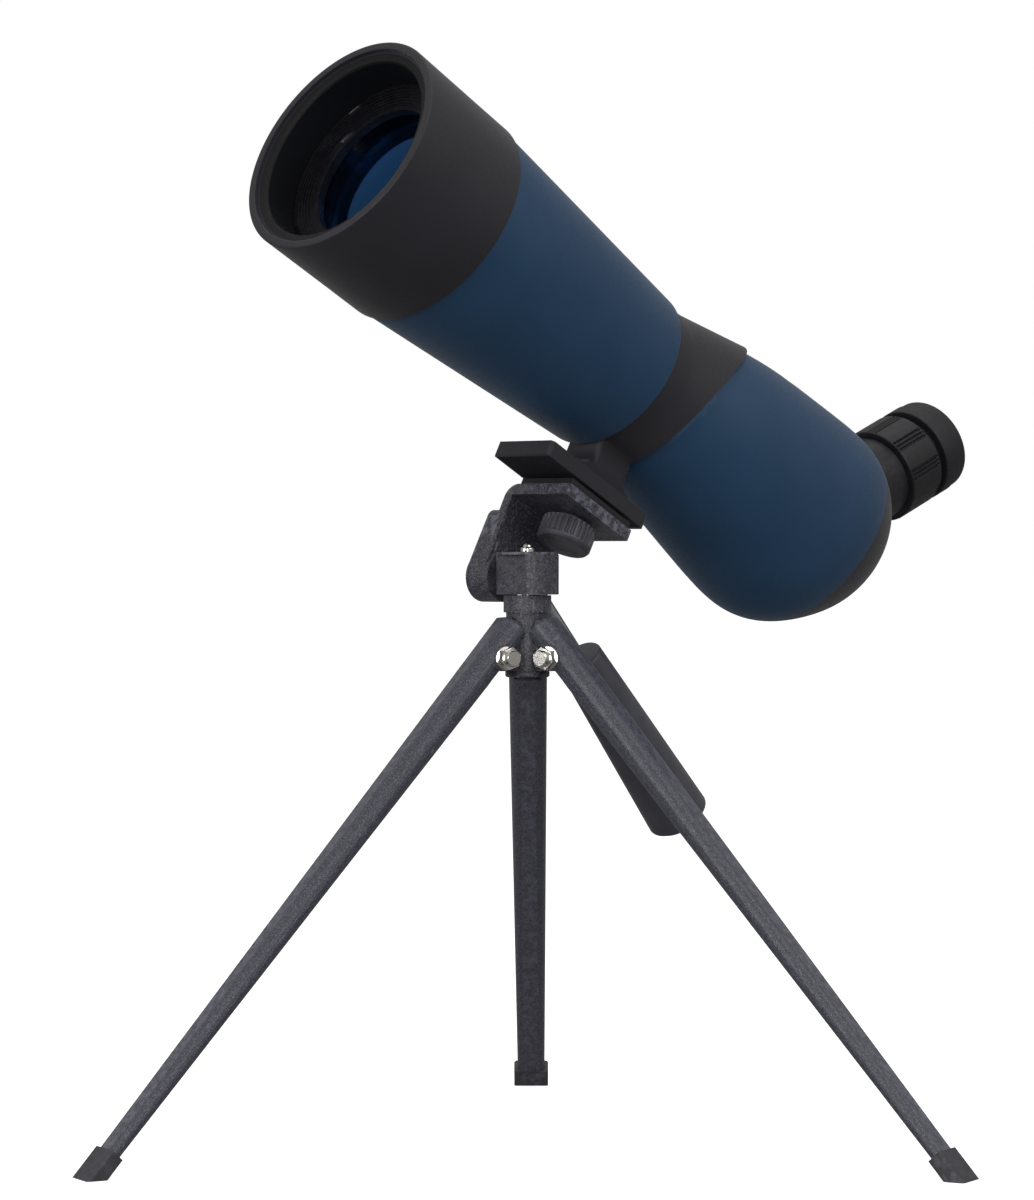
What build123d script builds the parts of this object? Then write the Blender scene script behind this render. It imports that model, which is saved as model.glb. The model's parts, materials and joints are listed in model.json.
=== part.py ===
from build123d import *
import math
import os

# A spotting telescope on a table tripod. Millimetres, +Z up, the telescope points to -Y, +X is its left.
# The tripod is modelled about its own centre line, and moved at the end so that the origin is the centre
# of the whole object's footprint box, on the floor.

# ---------------------------------------------------------------- clearances
GAP = 0.3                 # between pieces of different bodies that pass each other
LEG_ROOM = 0.9            # between the tops of two neighbouring legs
RUNNING = 0.05            # radial, a shaft that turns in its hole

# ---------------------------------------------------------------- the grooves of every grip
GROOVE_WIDE = 0.9
GROOVE_DEEP = 0.6
GRIP_EDGE = 0.5

# ---------------------------------------------------------------- tripod
PIVOT_R = 12.7            # leg pivot, distance from the centre line
PIVOT_H = 171.2           # leg pivot, height
FOOT_R = 167.0            # where a leg's centre line meets the floor
LEG_OFFSET = 2.33         # the leg's centre line lies this far outside its pivot
LEG_TOP = 14.5            # the leg goes on this far above its pivot
LEG_WIDE = (14.0, 10.3)   # tangential width, top and bottom
LEG_THICK = (10.8, 4.5)   # thickness, top and bottom
LEG_WALL = 1.3
LEG_TOP_EASE = 2.6        # the tube's top edge is cut back by this much
WEB = 2.0                 # outer web left beside the lug
FRONT_AZIMUTH = 315.1     # the middle of the gap between the two front legs
LEG_NAMES = {"left": 300.0, "right": 60.0, "rear": 180.0}   # angle from the front gap's middle
NUT_SIDE = {"left": 1, "right": -1, "rear": 1}
BOOT_WIDE = 13.2
BOOT_THICK = 5.9
BOOT_LONG = 10.8          # along the centre line
TUBE_OFF_FLOOR = 1.5

CORE_R = 7.5
FLANGE_R = 7.8
FLANGE_T = 1.8
CORE_BOTTOM = 164.3
NECK_R = 8.4
NECK_BOTTOM = 187.0
NECK_TOP = 193.0
LUG_THICK = 9.0
LUG_R = 4.6
BOLT_R = 2.0
WASHER_R = 4.1
WASHER_T = 0.8
EAR_BOSS_R = 4.4
EAR_BOSS_PROUD = 0.1
NUT_FLATS = 7.0
NUT_H = 3.2
DOME_H = 2.3
BOLT_HEAD_R = 3.6
BOLT_HEAD_H = 2.4

# ---------------------------------------------------------------- pan head
TILT_H = 199.3
BLOCK_BOTTOM = NECK_TOP + GAP
BLOCK_H = 14.0
BLOCK_FRONT_BACK = 15.0
BLOCK_LEFT = 10.8         # +X face
BLOCK_ROUND = 4.6
BOSS_IN = 11.2            # the bracket's boss ends this far on -X
BLOCK_RIGHT = BOSS_IN - GAP
PAN_BOLT_R = 2.0
PAN_BOLT_FOOT = 176.0
DISC_R = 10.8
DISC_T = 0.9
TILT_PIN_R = 3.5
TILT_PIN_END = 3.5

HANDLE_DOWN = 48.7        # below level
HANDLE_X = -5.2
HANDLE_Y = 5.44           # where the handle's axis passes the tilt axis' height
ROD_R = 2.5
ROD_START = 1.6
GRIP_START = 38.2
GRIP_LENGTH = 79.6
GRIP_R = (8.5, 11.6)

# ---------------------------------------------------------------- bracket, in the tilting frame
ELEVATION = 28.55
PLATE_T = 4.3
PLATE_TOP = 32.7          # above the tilt axis
PLATE_Y = (-9.1, 25.6)
PLATE_LEFT = 13.8
EAR_X = (-17.0, -13.2)
EAR_BEND = 5.0
BOSS_R = 8.8
BOSS_OUT = 22.2
BOSS_BAR = (-8.7, 4.0)    # front and back of the raised bar above the boss
BOSS_BAR_TOP = 24.0
PAD_T = 2.5
PAD_INSET = 0.8
SCREW_R = 3.175           # 1/4 inch camera screw
SCREW_HOLE_R = 3.4
KNOB_R = 10.0
KNOB_H = 8.6
KNOB_BOTTOM = 17.8
KNOB_Y = 9.8              # the camera screw, behind the tilt axis
KNOB_COLLAR_R = 6.5
KNOB_RIDGES = 28

# ---------------------------------------------------------------- telescope, stations behind the front rim
RIM_FORWARD = 147.7       # front rim ahead of the tilt axis
AXIS_UP = 85.8            # optical axis above the tilt axis
HOOD_R = (40.8, 40.1)
HOOD_LENGTH = 48.2
HOOD_LIP_R = 37.8
HOOD_BORE_R = 37.0
HOOD_LIP_DEEP = 1.6
LINER_R = 34.0
LINER_END = 27.5
CELL_START = 15.0
CELL_END = 44.0
RIDGE_R = (32.4, 27.0)
RIDGES = 6
RIDGE_DEEP = 0.7
RIDGE_RISE = 0.45         # each ridge lies this far behind the last
LENS_R = 26.9
LENS_START = 19.0
LENS_BULGE = (3.0, 3.7)
LENS_FRONT_T = 9.2
LENS_PAIR_T = 12.0        # both objective lenses together
SPACER_LONG = 7.0
LENS_AIR = 0.3
CLEAR_R = 25.3
BARREL_R = (39.3, 31.4)
BARREL_END = 149.0
BARREL_WALL = 2.4
SPIGOT_R = 27.4
SPIGOT_LONG = 13.0
SPIGOT_WALL = 2.2
BAFFLES = 5
BAFFLE_FIRST = 6.0
BAFFLE_PITCH = 17.0
BAFFLE_T = 1.0
BAFFLE_HOLE = 25.0
BAFFLE_CLOSING = 1.6      # each hole's radius is this much less than the last
COLLAR_R = (30.0, 36.1)
COLLAR_FLARE = (160.0, 190.7)
COLLAR_WALL = 2.4
SEAM_FRONT = 170.6        # the collar's rear edge, level with the optical axis
SEAM_TILT = 0.39          # mm of station for each mm up
SEAM_CURVE = 0.0080       # mm of station for each square mm up
SEAM_LAP = (3.0, 2.5)     # the housing's spigot reaches this far ahead of the edge, and behind it
SEAM_REAR = 272.0
SEAM_REAR_TILT = 0.12
HOUSING_WALL = 2.4

SHOE_STATION = (124.0, 178.6)
SHOE_HALF = 13.9
SHOE_TOP = -44.0
SHOE_PAD_T = 1.0
INSERT_WALL = 1.6
STEM_STATION = (149.6, 167.5)
STEM_HALF = 8.5
STEM_ROUND = 2.0
STEM_STEPS = 4            # the flare's curve is lofted through this many steps
SHOE_T = 5.6
STEM_FLARE_H = 8.0
STEM_FLARE = (16.0, 6.0, 3.2)    # forward, backward, sideways

EYE_ANGLE = 51.0          # above the backward direction of the optical axis
EYE_STATION = 293.0
EYE_UP = 35.8
FACE_BELOW = 10.6         # the inclined face lies this far below the zoom ring
EYE_TUBE_R = 16.0
EYE_CORE_R = 14.6
EYE_BORE_R = 12.6
ZOOM_R = 18.25
ZOOM_LONG = 17.7
ZOOM_PANELS = 9
ZOOM_GROOVE_PITCH = 5.5   # degrees between a panel gap's three grooves
NECK_EYE_R = 15.5
CUP_START = 21.3
CUP_END = 33.8
CUP_R = 18.25
CUP_RECESS_R = 15.4
EYE_LENS_R = 11.3
EYE_LENS_TOP = 27.0
EYE_LENS_T = 4.5
EYE_LENS_BULGE = 1.4
FIELD_R = 7.5             # the field stop's hole
FIELD_LENS = (6.5, 10.0)  # below the zoom ring's lower end
ZOOM_CELL = (2.0, 8.0)    # the moving cell, at the low end of its travel
ZOOM_LENS_R = 9.6
ZOOM_LENS_BULGE = 1.0

FOCUS_X = -27.0
FOCUS_KNOB_R = 8.2
FOCUS_KNOB_H = 8.5
FOCUS_KNOB_RIDGES = 22
FOCUS_BOSS_R = 9.0
FOCUS_BOSS_H = 1.5
FOCUS_SHAFT_R = 2.0
FOCUS_SHAFT_DEEP = 51.0
CARRIAGE = (-47.0, -40.0)   # the focus carriage's nut on its screw, low and high
NUT_R = 4.0
PRISM_HALF = 9.0          # half the prisms' width
PRISM_H = 14.0
PRISM_HALF_DEEP = 4.0
SHELF_T = 2.0
ROOF_HALF = 8.0
CHEEK_T = 1.6
BRACKET_LOW = -31.0       # the fixed prism's bracket, below the zoom ring's lower end
TUBE_LOW = -17.0

# ---------------------------------------------------------------- worked out from the above
TIP_TO_PIVOT = math.hypot(FOOT_R - PIVOT_R, PIVOT_H)
SPREAD = math.degrees(
    math.atan2(FOOT_R - PIVOT_R, PIVOT_H) - math.asin(LEG_OFFSET / TIP_TO_PIVOT)
)
LEG_DOWN = math.sqrt(TIP_TO_PIVOT**2 - LEG_OFFSET**2)
SLOT = LUG_THICK + 2 * GAP
WASHER_SEAT = LEG_WIDE[0] / 2 + EAR_BOSS_PROUD
RIM_RATE = (COLLAR_R[1] - COLLAR_R[0]) / (COLLAR_FLARE[1] - COLLAR_FLARE[0])
EYE_COS = math.cos(math.radians(EYE_ANGLE))
EYE_SIN = math.sin(math.radians(EYE_ANGLE))

tilt_frame = Pos(0, 0, TILT_H) * Rot(-ELEVATION, 0, 0)
scope_frame = tilt_frame * Pos(0, -RIM_FORWARD, AXIS_UP)
eye_plane = Plane(origin=(0, EYE_STATION, EYE_UP), x_dir=(1, 0, 0), z_dir=(0, EYE_COS, EYE_SIN))
eye_frame = scope_frame * eye_plane.location
focus_frame = eye_frame * Pos(FOCUS_X, 0, -FACE_BELOW)
handle_plane = Plane(
    origin=(HANDLE_X, HANDLE_Y, TILT_H),
    x_dir=(1, 0, 0),
    z_dir=(0, math.cos(math.radians(HANDLE_DOWN)), -math.sin(math.radians(HANDLE_DOWN))),
)
leg_frame = Pos(PIVOT_R, 0, PIVOT_H) * Rot(0, -SPREAD, 0)

pieces = {}


# ---------------------------------------------------------------- shapes used by many pieces
def outline(points):
    return make_face(Polyline(*points, close=True))


def turned_y(points):
    """Turned about the optical axis, from (radius, station) corners."""
    return revolve(outline(points), Axis.Y)


def turned_z(points):
    """Turned about Z, from (radius, height) corners."""
    return revolve(Plane.XZ * outline(points), Axis.Z)


def rod(radius, low, high):
    return Pos(0, 0, low) * Cylinder(radius, high - low, align=(Align.CENTER, Align.CENTER, Align.MIN))


def ring(outer, inner, low, high):
    return rod(outer, low, high) - rod(inner, low - 1, high + 1)


def block(x, y, z):
    """A box between pairs of limits."""
    centre = Pos((x[0] + x[1]) / 2, (y[0] + y[1]) / 2, (z[0] + z[1]) / 2)
    return centre * Box(x[1] - x[0], y[1] - y[0], z[1] - z[0])


def behind(station, tilt):
    """Everything behind a seam plane that passes the optical axis at a station."""
    plane = Plane(origin=(0, station, 0), x_dir=(1, 0, 0), z_dir=(0, 1, -tilt))
    return plane.location * Box(300, 300, 300, align=(Align.CENTER, Align.CENTER, Align.MIN))


def behind_collar(further):
    """Everything behind the collar's curved rear edge, moved further back along the telescope."""
    reach = 2 * COLLAR_R[1]
    station = SEAM_FRONT + further
    bend = SEAM_CURVE * reach**2
    low = (station - SEAM_TILT * reach + bend, -reach)
    high = (station + SEAM_TILT * reach + bend, reach)
    far = station + 3 * SEAM_REAR
    seam = Bezier(low, (station - bend, 0), high)
    rest = Polyline(high, (far, reach), (far, -reach), low)
    return extrude(Plane.YZ * make_face([seam, rest]), reach, both=True)


def sphere_radius(radius, bulge):
    """The sphere whose cap of this radius bulges this much."""
    return (radius**2 + bulge**2) / (2 * bulge)


def knurled(radius, low, high, count):
    """A grip with straight grooves round its side."""
    body = chamfer(rod(radius, low, high).edges(), GRIP_EDGE)
    groove_long = high - low - 4 * GROOVE_DEEP
    groove = Pos(radius, 0, (low + high) / 2) * Box(2 * GROOVE_DEEP, GROOVE_WIDE, groove_long)
    for i in range(count):
        body -= Rot(0, 0, i * 360 / count) * groove
    return body


# ---------------------------------------------------------------- tripod
def hub_keep_out(extra):
    """The hub's round core and neck, grown by a clearance."""
    core = rod(CORE_R + extra, CORE_BOTTOM - 40, NECK_BOTTOM)
    return core + rod(NECK_R + extra, NECK_BOTTOM - extra, NECK_TOP + 20)


def make_hub():
    hub = turned_z(
        [
            (0, CORE_BOTTOM),
            (FLANGE_R - 0.5, CORE_BOTTOM),
            (FLANGE_R, CORE_BOTTOM + 0.5),
            (FLANGE_R, CORE_BOTTOM + FLANGE_T),
            (CORE_R, CORE_BOTTOM + FLANGE_T + 0.4),
            (CORE_R, NECK_BOTTOM),
            (NECK_R, NECK_BOTTOM),
            (NECK_R, NECK_TOP),
            (0, NECK_TOP),
        ]
    )
    web_low = PIVOT_H - LUG_R
    arm = Plane.XZ * outline(
        [
            (0, web_low),
            (PIVOT_R, web_low),
            (PIVOT_R + LUG_R * 0.72, PIVOT_H + LUG_R * 0.70),
            (CORE_R - 0.5, PIVOT_H + 2.0 * LUG_R),
            (0, PIVOT_H + 2.0 * LUG_R),
        ]
    )
    lug = extrude(arm, LUG_THICK / 2, both=True)
    lug += Pos(PIVOT_R, 0, PIVOT_H) * Rot(90, 0, 0) * Cylinder(LUG_R, LUG_THICK)
    lug -= Pos(PIVOT_R, 0, PIVOT_H) * Rot(90, 0, 0) * Cylinder(BOLT_R + RUNNING, 4 * LUG_THICK)
    for angle in LEG_NAMES.values():
        hub += Rot(0, 0, FRONT_AZIMUTH + angle) * lug
    return hub - rod(PAN_BOLT_R, PAN_BOLT_FOOT, NECK_TOP + 1)


def leg_section(height, shrink):
    """The leg's oval section at a height along it, less a wall."""
    share = (LEG_TOP - height) / (LEG_TOP + LEG_DOWN)
    wide = LEG_WIDE[0] + share * (LEG_WIDE[1] - LEG_WIDE[0]) - 2 * shrink
    thick = LEG_THICK[0] + share * (LEG_THICK[1] - LEG_THICK[0]) - 2 * shrink
    place = Plane(origin=(LEG_OFFSET, 0, height), x_dir=(1, 0, 0), z_dir=(0, 0, 1))
    return place * RectangleRounded(thick, wide, thick * 0.46)


def leg_third():
    """The third of the tripod that one leg has to itself, about +X."""
    reach = FOOT_R * 2
    near = LEG_ROOM / 2 / math.sin(math.radians(60))
    far = reach * math.tan(math.radians(60))
    third = outline([(near, 0), (near + reach, far), (near + reach, -far)])
    return extrude(third, PIVOT_H + 2 * LEG_TOP)


def make_leg_tube():
    low = -LEG_DOWN - LEG_THICK[1]
    tube = loft([leg_section(low, 0), leg_section(LEG_TOP, 0)])
    tube = chamfer(tube.edges().group_by(Axis.Z)[-1], LEG_TOP_EASE)
    for side in (-1, 1):
        tube += Rot(side * 90, 0, 0) * rod(EAR_BOSS_R, 0, WASHER_SEAT)
    tube -= loft([leg_section(low - 1, LEG_WALL), leg_section(-LUG_R * 2, LEG_WALL)])
    web_inside = LEG_OFFSET + LEG_THICK[0] / 2 - WEB
    tube -= block((-30, web_inside), (-SLOT / 2, SLOT / 2), (-LUG_R * 2, LEG_TOP + 5))
    tube -= Rot(90, 0, 0) * Cylinder(BOLT_R, 4 * LUG_THICK)
    tube = leg_frame * tube
    tube -= block((-50, FOOT_R + 50), (-50, 50), (-80, TUBE_OFF_FLOOR))
    tube &= leg_third()
    return tube - hub_keep_out(GAP + 0.1)


def make_leg_boot():
    place = Plane(origin=(LEG_OFFSET, 0, -LEG_DOWN - 2 * BOOT_THICK), x_dir=(1, 0, 0), z_dir=(0, 0, 1))
    boot = extrude(place * RectangleRounded(BOOT_THICK, BOOT_WIDE, 1.2), 2 * BOOT_THICK + BOOT_LONG)
    boot -= loft([leg_section(-LEG_DOWN - 3 * BOOT_THICK, 0), leg_section(-LEG_DOWN + 2 * BOOT_LONG, 0)])
    sole = extrude(place * RectangleRounded(BOOT_THICK - 1, BOOT_WIDE - 1, 1), 2 * BOOT_THICK + BOOT_LONG)
    boot = leg_frame * boot
    sole = leg_frame * sole
    boot += sole - block((-50, FOOT_R + 50), (-50, 50), (TUBE_OFF_FLOOR, 80))
    return boot - block((-50, FOOT_R + 50), (-50, 50), (-80, 0))


def make_pivot_bolt(side):
    bolt = rod(BOLT_R, -WASHER_SEAT - WASHER_T - 0.5, WASHER_SEAT + WASHER_T + NUT_H)
    head_low = -WASHER_SEAT - WASHER_T - BOLT_HEAD_H
    head = rod(BOLT_HEAD_R, head_low, head_low + BOLT_HEAD_H)
    bolt += fillet(head.edges().sort_by(Axis.Z)[0], BOLT_HEAD_H * 0.6)
    return leg_frame * Rot(-90 * side, 0, 0) * bolt


def make_washers():
    washers = ring(WASHER_R, BOLT_R, WASHER_SEAT, WASHER_SEAT + WASHER_T)
    washers += ring(WASHER_R, BOLT_R, -WASHER_SEAT - WASHER_T, -WASHER_SEAT)
    return leg_frame * Rot(90, 0, 0) * washers


def make_acorn_nut(side):
    low = WASHER_SEAT + WASHER_T
    hexagon = RegularPolygon(NUT_FLATS / 2, 6, major_radius=False)
    nut = Pos(0, 0, low) * extrude(hexagon, NUT_H)
    nut += rod(NUT_FLATS / 2 - 0.4, low + NUT_H, low + NUT_H + 0.6)
    dome = Pos(0, 0, low + NUT_H + 0.6) * Sphere(NUT_FLATS / 2 - 0.5)
    nut += dome & rod(NUT_FLATS, low + NUT_H, low + NUT_H + DOME_H)
    return leg_frame * Rot(-90 * side, 0, 0) * (nut - rod(BOLT_R, 0, low + NUT_H))


def build_tripod():
    pieces["hub"] = make_hub()
    for name, angle in LEG_NAMES.items():
        turn = Rot(0, 0, FRONT_AZIMUTH + angle)
        side = NUT_SIDE[name]
        pieces["leg_tube_" + name] = turn * make_leg_tube()
        pieces["leg_boot_" + name] = turn * make_leg_boot()
        pieces["leg_bolt_" + name] = turn * make_pivot_bolt(side)
        pieces["leg_washers_" + name] = turn * make_washers()
        pieces["leg_nut_" + name] = turn * make_acorn_nut(side)


# ---------------------------------------------------------------- pan head
def build_head():
    top = BLOCK_BOTTOM + BLOCK_H
    half = BLOCK_FRONT_BACK / 2
    body = block((-BLOCK_RIGHT, BLOCK_LEFT), (-half, half), (BLOCK_BOTTOM, top))
    body = fillet(body.edges().filter_by(Axis.Z), BLOCK_ROUND)
    body -= rod(PAN_BOLT_R + RUNNING, BLOCK_BOTTOM - 1, top + 1)
    pin_hole = rod(TILT_PIN_R + RUNNING, TILT_PIN_END - GAP, BLOCK_RIGHT + 1)
    body -= Pos(0, 0, TILT_H) * Rot(0, -90, 0) * pin_hole
    body -= handle_plane.location * rod(ROD_R + RUNNING, ROD_START - GAP, GRIP_START)
    pieces["pan_block"] = body
    pieces["pan_disc"] = ring(DISC_R, PAN_BOLT_R + RUNNING, top, top + DISC_T)
    seat = top + DISC_T + GAP / 2
    pieces["pan_bolt"] = turned_z(
        [
            (0, PAN_BOLT_FOOT),
            (PAN_BOLT_R, PAN_BOLT_FOOT),
            (PAN_BOLT_R, seat),
            (PAN_BOLT_R + 0.6, seat),
            (PAN_BOLT_R + 0.5, seat + 1.3),
            (PAN_BOLT_R - 0.3, seat + 1.5),
            (PAN_BOLT_R - 0.6, seat + 2.4),
            (PAN_BOLT_R - 1.3, seat + 2.8),
            (0, seat + 2.9),
        ]
    )
    grip_end = GRIP_START + GRIP_LENGTH
    grip = turned_z(
        [
            (ROD_R, GRIP_START),
            (GRIP_R[0] - 0.8, GRIP_START),
            (GRIP_R[0], GRIP_START + 0.8),
            (GRIP_R[1], grip_end - 2.0),
            (GRIP_R[1] - 0.6, grip_end - 0.6),
            (GRIP_R[1] - 2.4, grip_end),
            (0, grip_end + 0.4),
            (0, GRIP_START + GRIP_LENGTH / 2),
            (ROD_R, GRIP_START + GRIP_LENGTH / 2),
        ]
    )
    pieces["handle_grip"] = handle_plane.location * grip
    pieces["handle_rod"] = handle_plane.location * rod(ROD_R, ROD_START, GRIP_START + GRIP_LENGTH / 2)


# ---------------------------------------------------------------- bracket and camera screw
def build_bracket():
    low = PLATE_TOP - PLATE_T
    section = outline(
        [
            (EAR_X[0], 0),
            (EAR_X[0], PLATE_TOP),
            (PLATE_LEFT, PLATE_TOP),
            (PLATE_LEFT, low),
            (EAR_X[1], low),
            (EAR_X[1], 0),
        ]
    )
    bent = extrude(Plane.XZ * section, -(PLATE_Y[1] - PLATE_Y[0]))
    bent = Pos(0, PLATE_Y[0], 0) * bent
    corner = bent.edges().filter_by(Axis.Y).group_by(Axis.Z)[-1].sort_by(Axis.X)[0]
    bent = fillet(corner, EAR_BEND)
    ear_line = outline(
        [
            (PLATE_Y[0], low),
            (PLATE_Y[0], PLATE_TOP + 1),
            (PLATE_Y[1], PLATE_TOP + 1),
            (PLATE_Y[1], low),
            (BOSS_R, 0),
            (-BOSS_R, 0),
        ]
    )
    keep = Pos(-100, 0, 0) * extrude(Plane.YZ * ear_line, 200)
    bracket = bent & keep
    across = Rot(0, -90, 0)
    bracket += across * rod(BOSS_R, BOSS_IN, BOSS_OUT)
    bar = block((-BOSS_OUT, EAR_X[0]), BOSS_BAR, (0, BOSS_BAR_TOP))
    bracket += fillet(bar.edges().filter_by(Axis.X).group_by(Axis.Z)[-1], 4.0)
    bracket -= Pos(0, KNOB_Y, 0) * rod(SCREW_HOLE_R, low - 1, PLATE_TOP + 1)
    bracket -= across * rod(TILT_PIN_R, 0, BOSS_OUT - 1.5)
    pieces["tilt_bracket"] = tilt_frame * bracket
    pieces["tilt_pin"] = tilt_frame * across * rod(TILT_PIN_R, TILT_PIN_END, BOSS_OUT - 1.5)

    inset = PAD_INSET
    pad = block(
        (EAR_X[0] + EAR_BEND, PLATE_LEFT - inset),
        (PLATE_Y[0] + inset, PLATE_Y[1] - inset),
        (PLATE_TOP, PLATE_TOP + PAD_T),
    )
    pieces["platform_pad"] = tilt_frame * (pad - Pos(0, KNOB_Y, 0) * rod(SCREW_HOLE_R, low, PLATE_TOP + 9))

    knob = knurled(KNOB_R, KNOB_BOTTOM, KNOB_BOTTOM + KNOB_H, KNOB_RIDGES)
    knob -= rod(KNOB_R * 0.62, KNOB_BOTTOM - 1, KNOB_BOTTOM + 0.5)
    knob += rod(KNOB_COLLAR_R, KNOB_BOTTOM + KNOB_H, low - GAP)
    foot = KNOB_BOTTOM + KNOB_H / 2
    pieces["mount_knob"] = tilt_frame * Pos(0, KNOB_Y, 0) * (knob - rod(SCREW_R, foot, low + 1))
    tip = AXIS_UP + SHOE_TOP - 0.8
    pieces["mount_screw"] = tilt_frame * Pos(0, KNOB_Y, 0) * rod(SCREW_R, foot, tip)


# ---------------------------------------------------------------- telescope
def barrel_outside(station):
    share = (station - HOOD_LENGTH) / (BARREL_END - HOOD_LENGTH)
    return BARREL_R[0] + share * (BARREL_R[1] - BARREL_R[0])


def collar_outside(station):
    return COLLAR_R[0] + RIM_RATE * (station - COLLAR_FLARE[0])


def build_front():
    pieces["dew_hood"] = scope_frame * turned_y(
        [
            (HOOD_LIP_R, 0),
            (HOOD_R[0] - 0.6, 0),
            (HOOD_R[0], 0.7),
            (HOOD_R[1], HOOD_LENGTH - 0.8),
            (HOOD_R[1] - 0.8, HOOD_LENGTH),
            (HOOD_BORE_R, HOOD_LENGTH),
            (HOOD_BORE_R, HOOD_LIP_DEEP),
            (HOOD_LIP_R, HOOD_LIP_DEEP),
        ]
    )
    pieces["hood_liner"] = scope_frame * turned_y(
        [
            (HOOD_BORE_R, HOOD_LIP_DEEP),
            (HOOD_BORE_R, LINER_END),
            (LINER_R, LINER_END),
            (LINER_R, HOOD_LIP_DEEP + 1),
        ]
    )
    pitch = (RIDGE_R[0] - RIDGE_R[1]) / RIDGES
    steps = []
    for i in range(RIDGES):
        radius = RIDGE_R[0] - i * pitch
        station = CELL_START + i * RIDGE_RISE
        steps.append((radius, station))
        steps.append((radius - pitch * 0.5, station))
        steps.append((radius - pitch * 0.5, station + RIDGE_DEEP))
        steps.append((radius - pitch, station + RIDGE_DEEP))
    lens_back = LENS_START + LENS_PAIR_T
    pieces["objective_cell"] = scope_frame * turned_y(
        [(LINER_R, CELL_START + 0.6)]
        + [(RIDGE_R[0] + 0.6, CELL_START)]
        + steps
        + [
            (RIDGE_R[1], lens_back + SPACER_LONG),
            (CLEAR_R - 0.3, lens_back + SPACER_LONG),
            (CLEAR_R - 0.3, lens_back + SPACER_LONG + 2),
            (RIDGE_R[1] + 2.5, CELL_END),
            (LINER_R, CELL_END),
        ]
    )
    pieces["objective_retainer"] = scope_frame * turned_y(
        [
            (CLEAR_R, LENS_START - 0.6),
            (RIDGE_R[1], LENS_START - 0.6),
            (RIDGE_R[1], LENS_START + 2.8),
            (LENS_R - 0.1, LENS_START + 2.8),
            (CLEAR_R, LENS_START + 2.45),
        ]
    )
    front_curve = sphere_radius(LENS_R, LENS_BULGE[0])
    back_curve = sphere_radius(LENS_R, LENS_BULGE[1])
    middle = LENS_START + LENS_FRONT_T
    front_ball = Pos(0, 0, LENS_START + front_curve) * Sphere(front_curve)
    back_ball = Pos(0, 0, middle - back_curve) * Sphere(back_curve)
    front_lens = rod(LENS_R, LENS_START, middle) & front_ball & back_ball
    rear_lens = rod(LENS_R, LENS_START, lens_back) - Pos(0, 0, LENS_AIR) * back_ball
    rear_lens &= rod(LENS_R, middle - LENS_BULGE[1], lens_back)
    pieces["objective_front_lens"] = scope_frame * Rot(-90, 0, 0) * front_lens
    pieces["objective_rear_lens"] = scope_frame * Rot(-90, 0, 0) * rear_lens
    pieces["objective_spacer"] = scope_frame * turned_y(
        [
            (CLEAR_R, lens_back),
            (LENS_R, lens_back),
            (LENS_R, lens_back + SPACER_LONG),
            (CLEAR_R, lens_back + SPACER_LONG),
        ]
    )

    inside_front = HOOD_LENGTH + 4
    inside_rear = BARREL_END - 2.6
    pieces["front_barrel"] = scope_frame * turned_y(
        [
            (HOOD_BORE_R, LINER_END),
            (HOOD_BORE_R, HOOD_LENGTH),
            (BARREL_R[0], HOOD_LENGTH),
            (barrel_outside(BARREL_END - 0.6), BARREL_END - 0.6),
            (BARREL_R[1] - 0.6, BARREL_END),
            (SPIGOT_R, BARREL_END),
            (SPIGOT_R, BARREL_END + SPIGOT_LONG),
            (SPIGOT_R - SPIGOT_WALL, BARREL_END + SPIGOT_LONG),
            (SPIGOT_R - SPIGOT_WALL, inside_rear),
            (barrel_outside(inside_rear) - BARREL_WALL, inside_rear),
            (barrel_outside(inside_front) - BARREL_WALL, inside_front),
            (LINER_R, HOOD_LENGTH + 2),
            (LINER_R, LINER_END),
        ]
    )
    pieces["baffle_rings"] = scope_frame * Compound([make_baffle(inside_front, i) for i in range(BAFFLES)])


def make_baffle(inside_front, number):
    """One light-trap ring, whose hole gets smaller towards the back."""
    front = inside_front + BAFFLE_FIRST + number * BAFFLE_PITCH
    back = front + BAFFLE_T
    hole = BAFFLE_HOLE - number * BAFFLE_CLOSING
    outer = barrel_outside(front) - BARREL_WALL - RUNNING
    outer_back = barrel_outside(back) - BARREL_WALL - RUNNING
    return turned_y([(hole, front), (outer, front), (outer_back, back), (hole + 0.4, back)])


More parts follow.
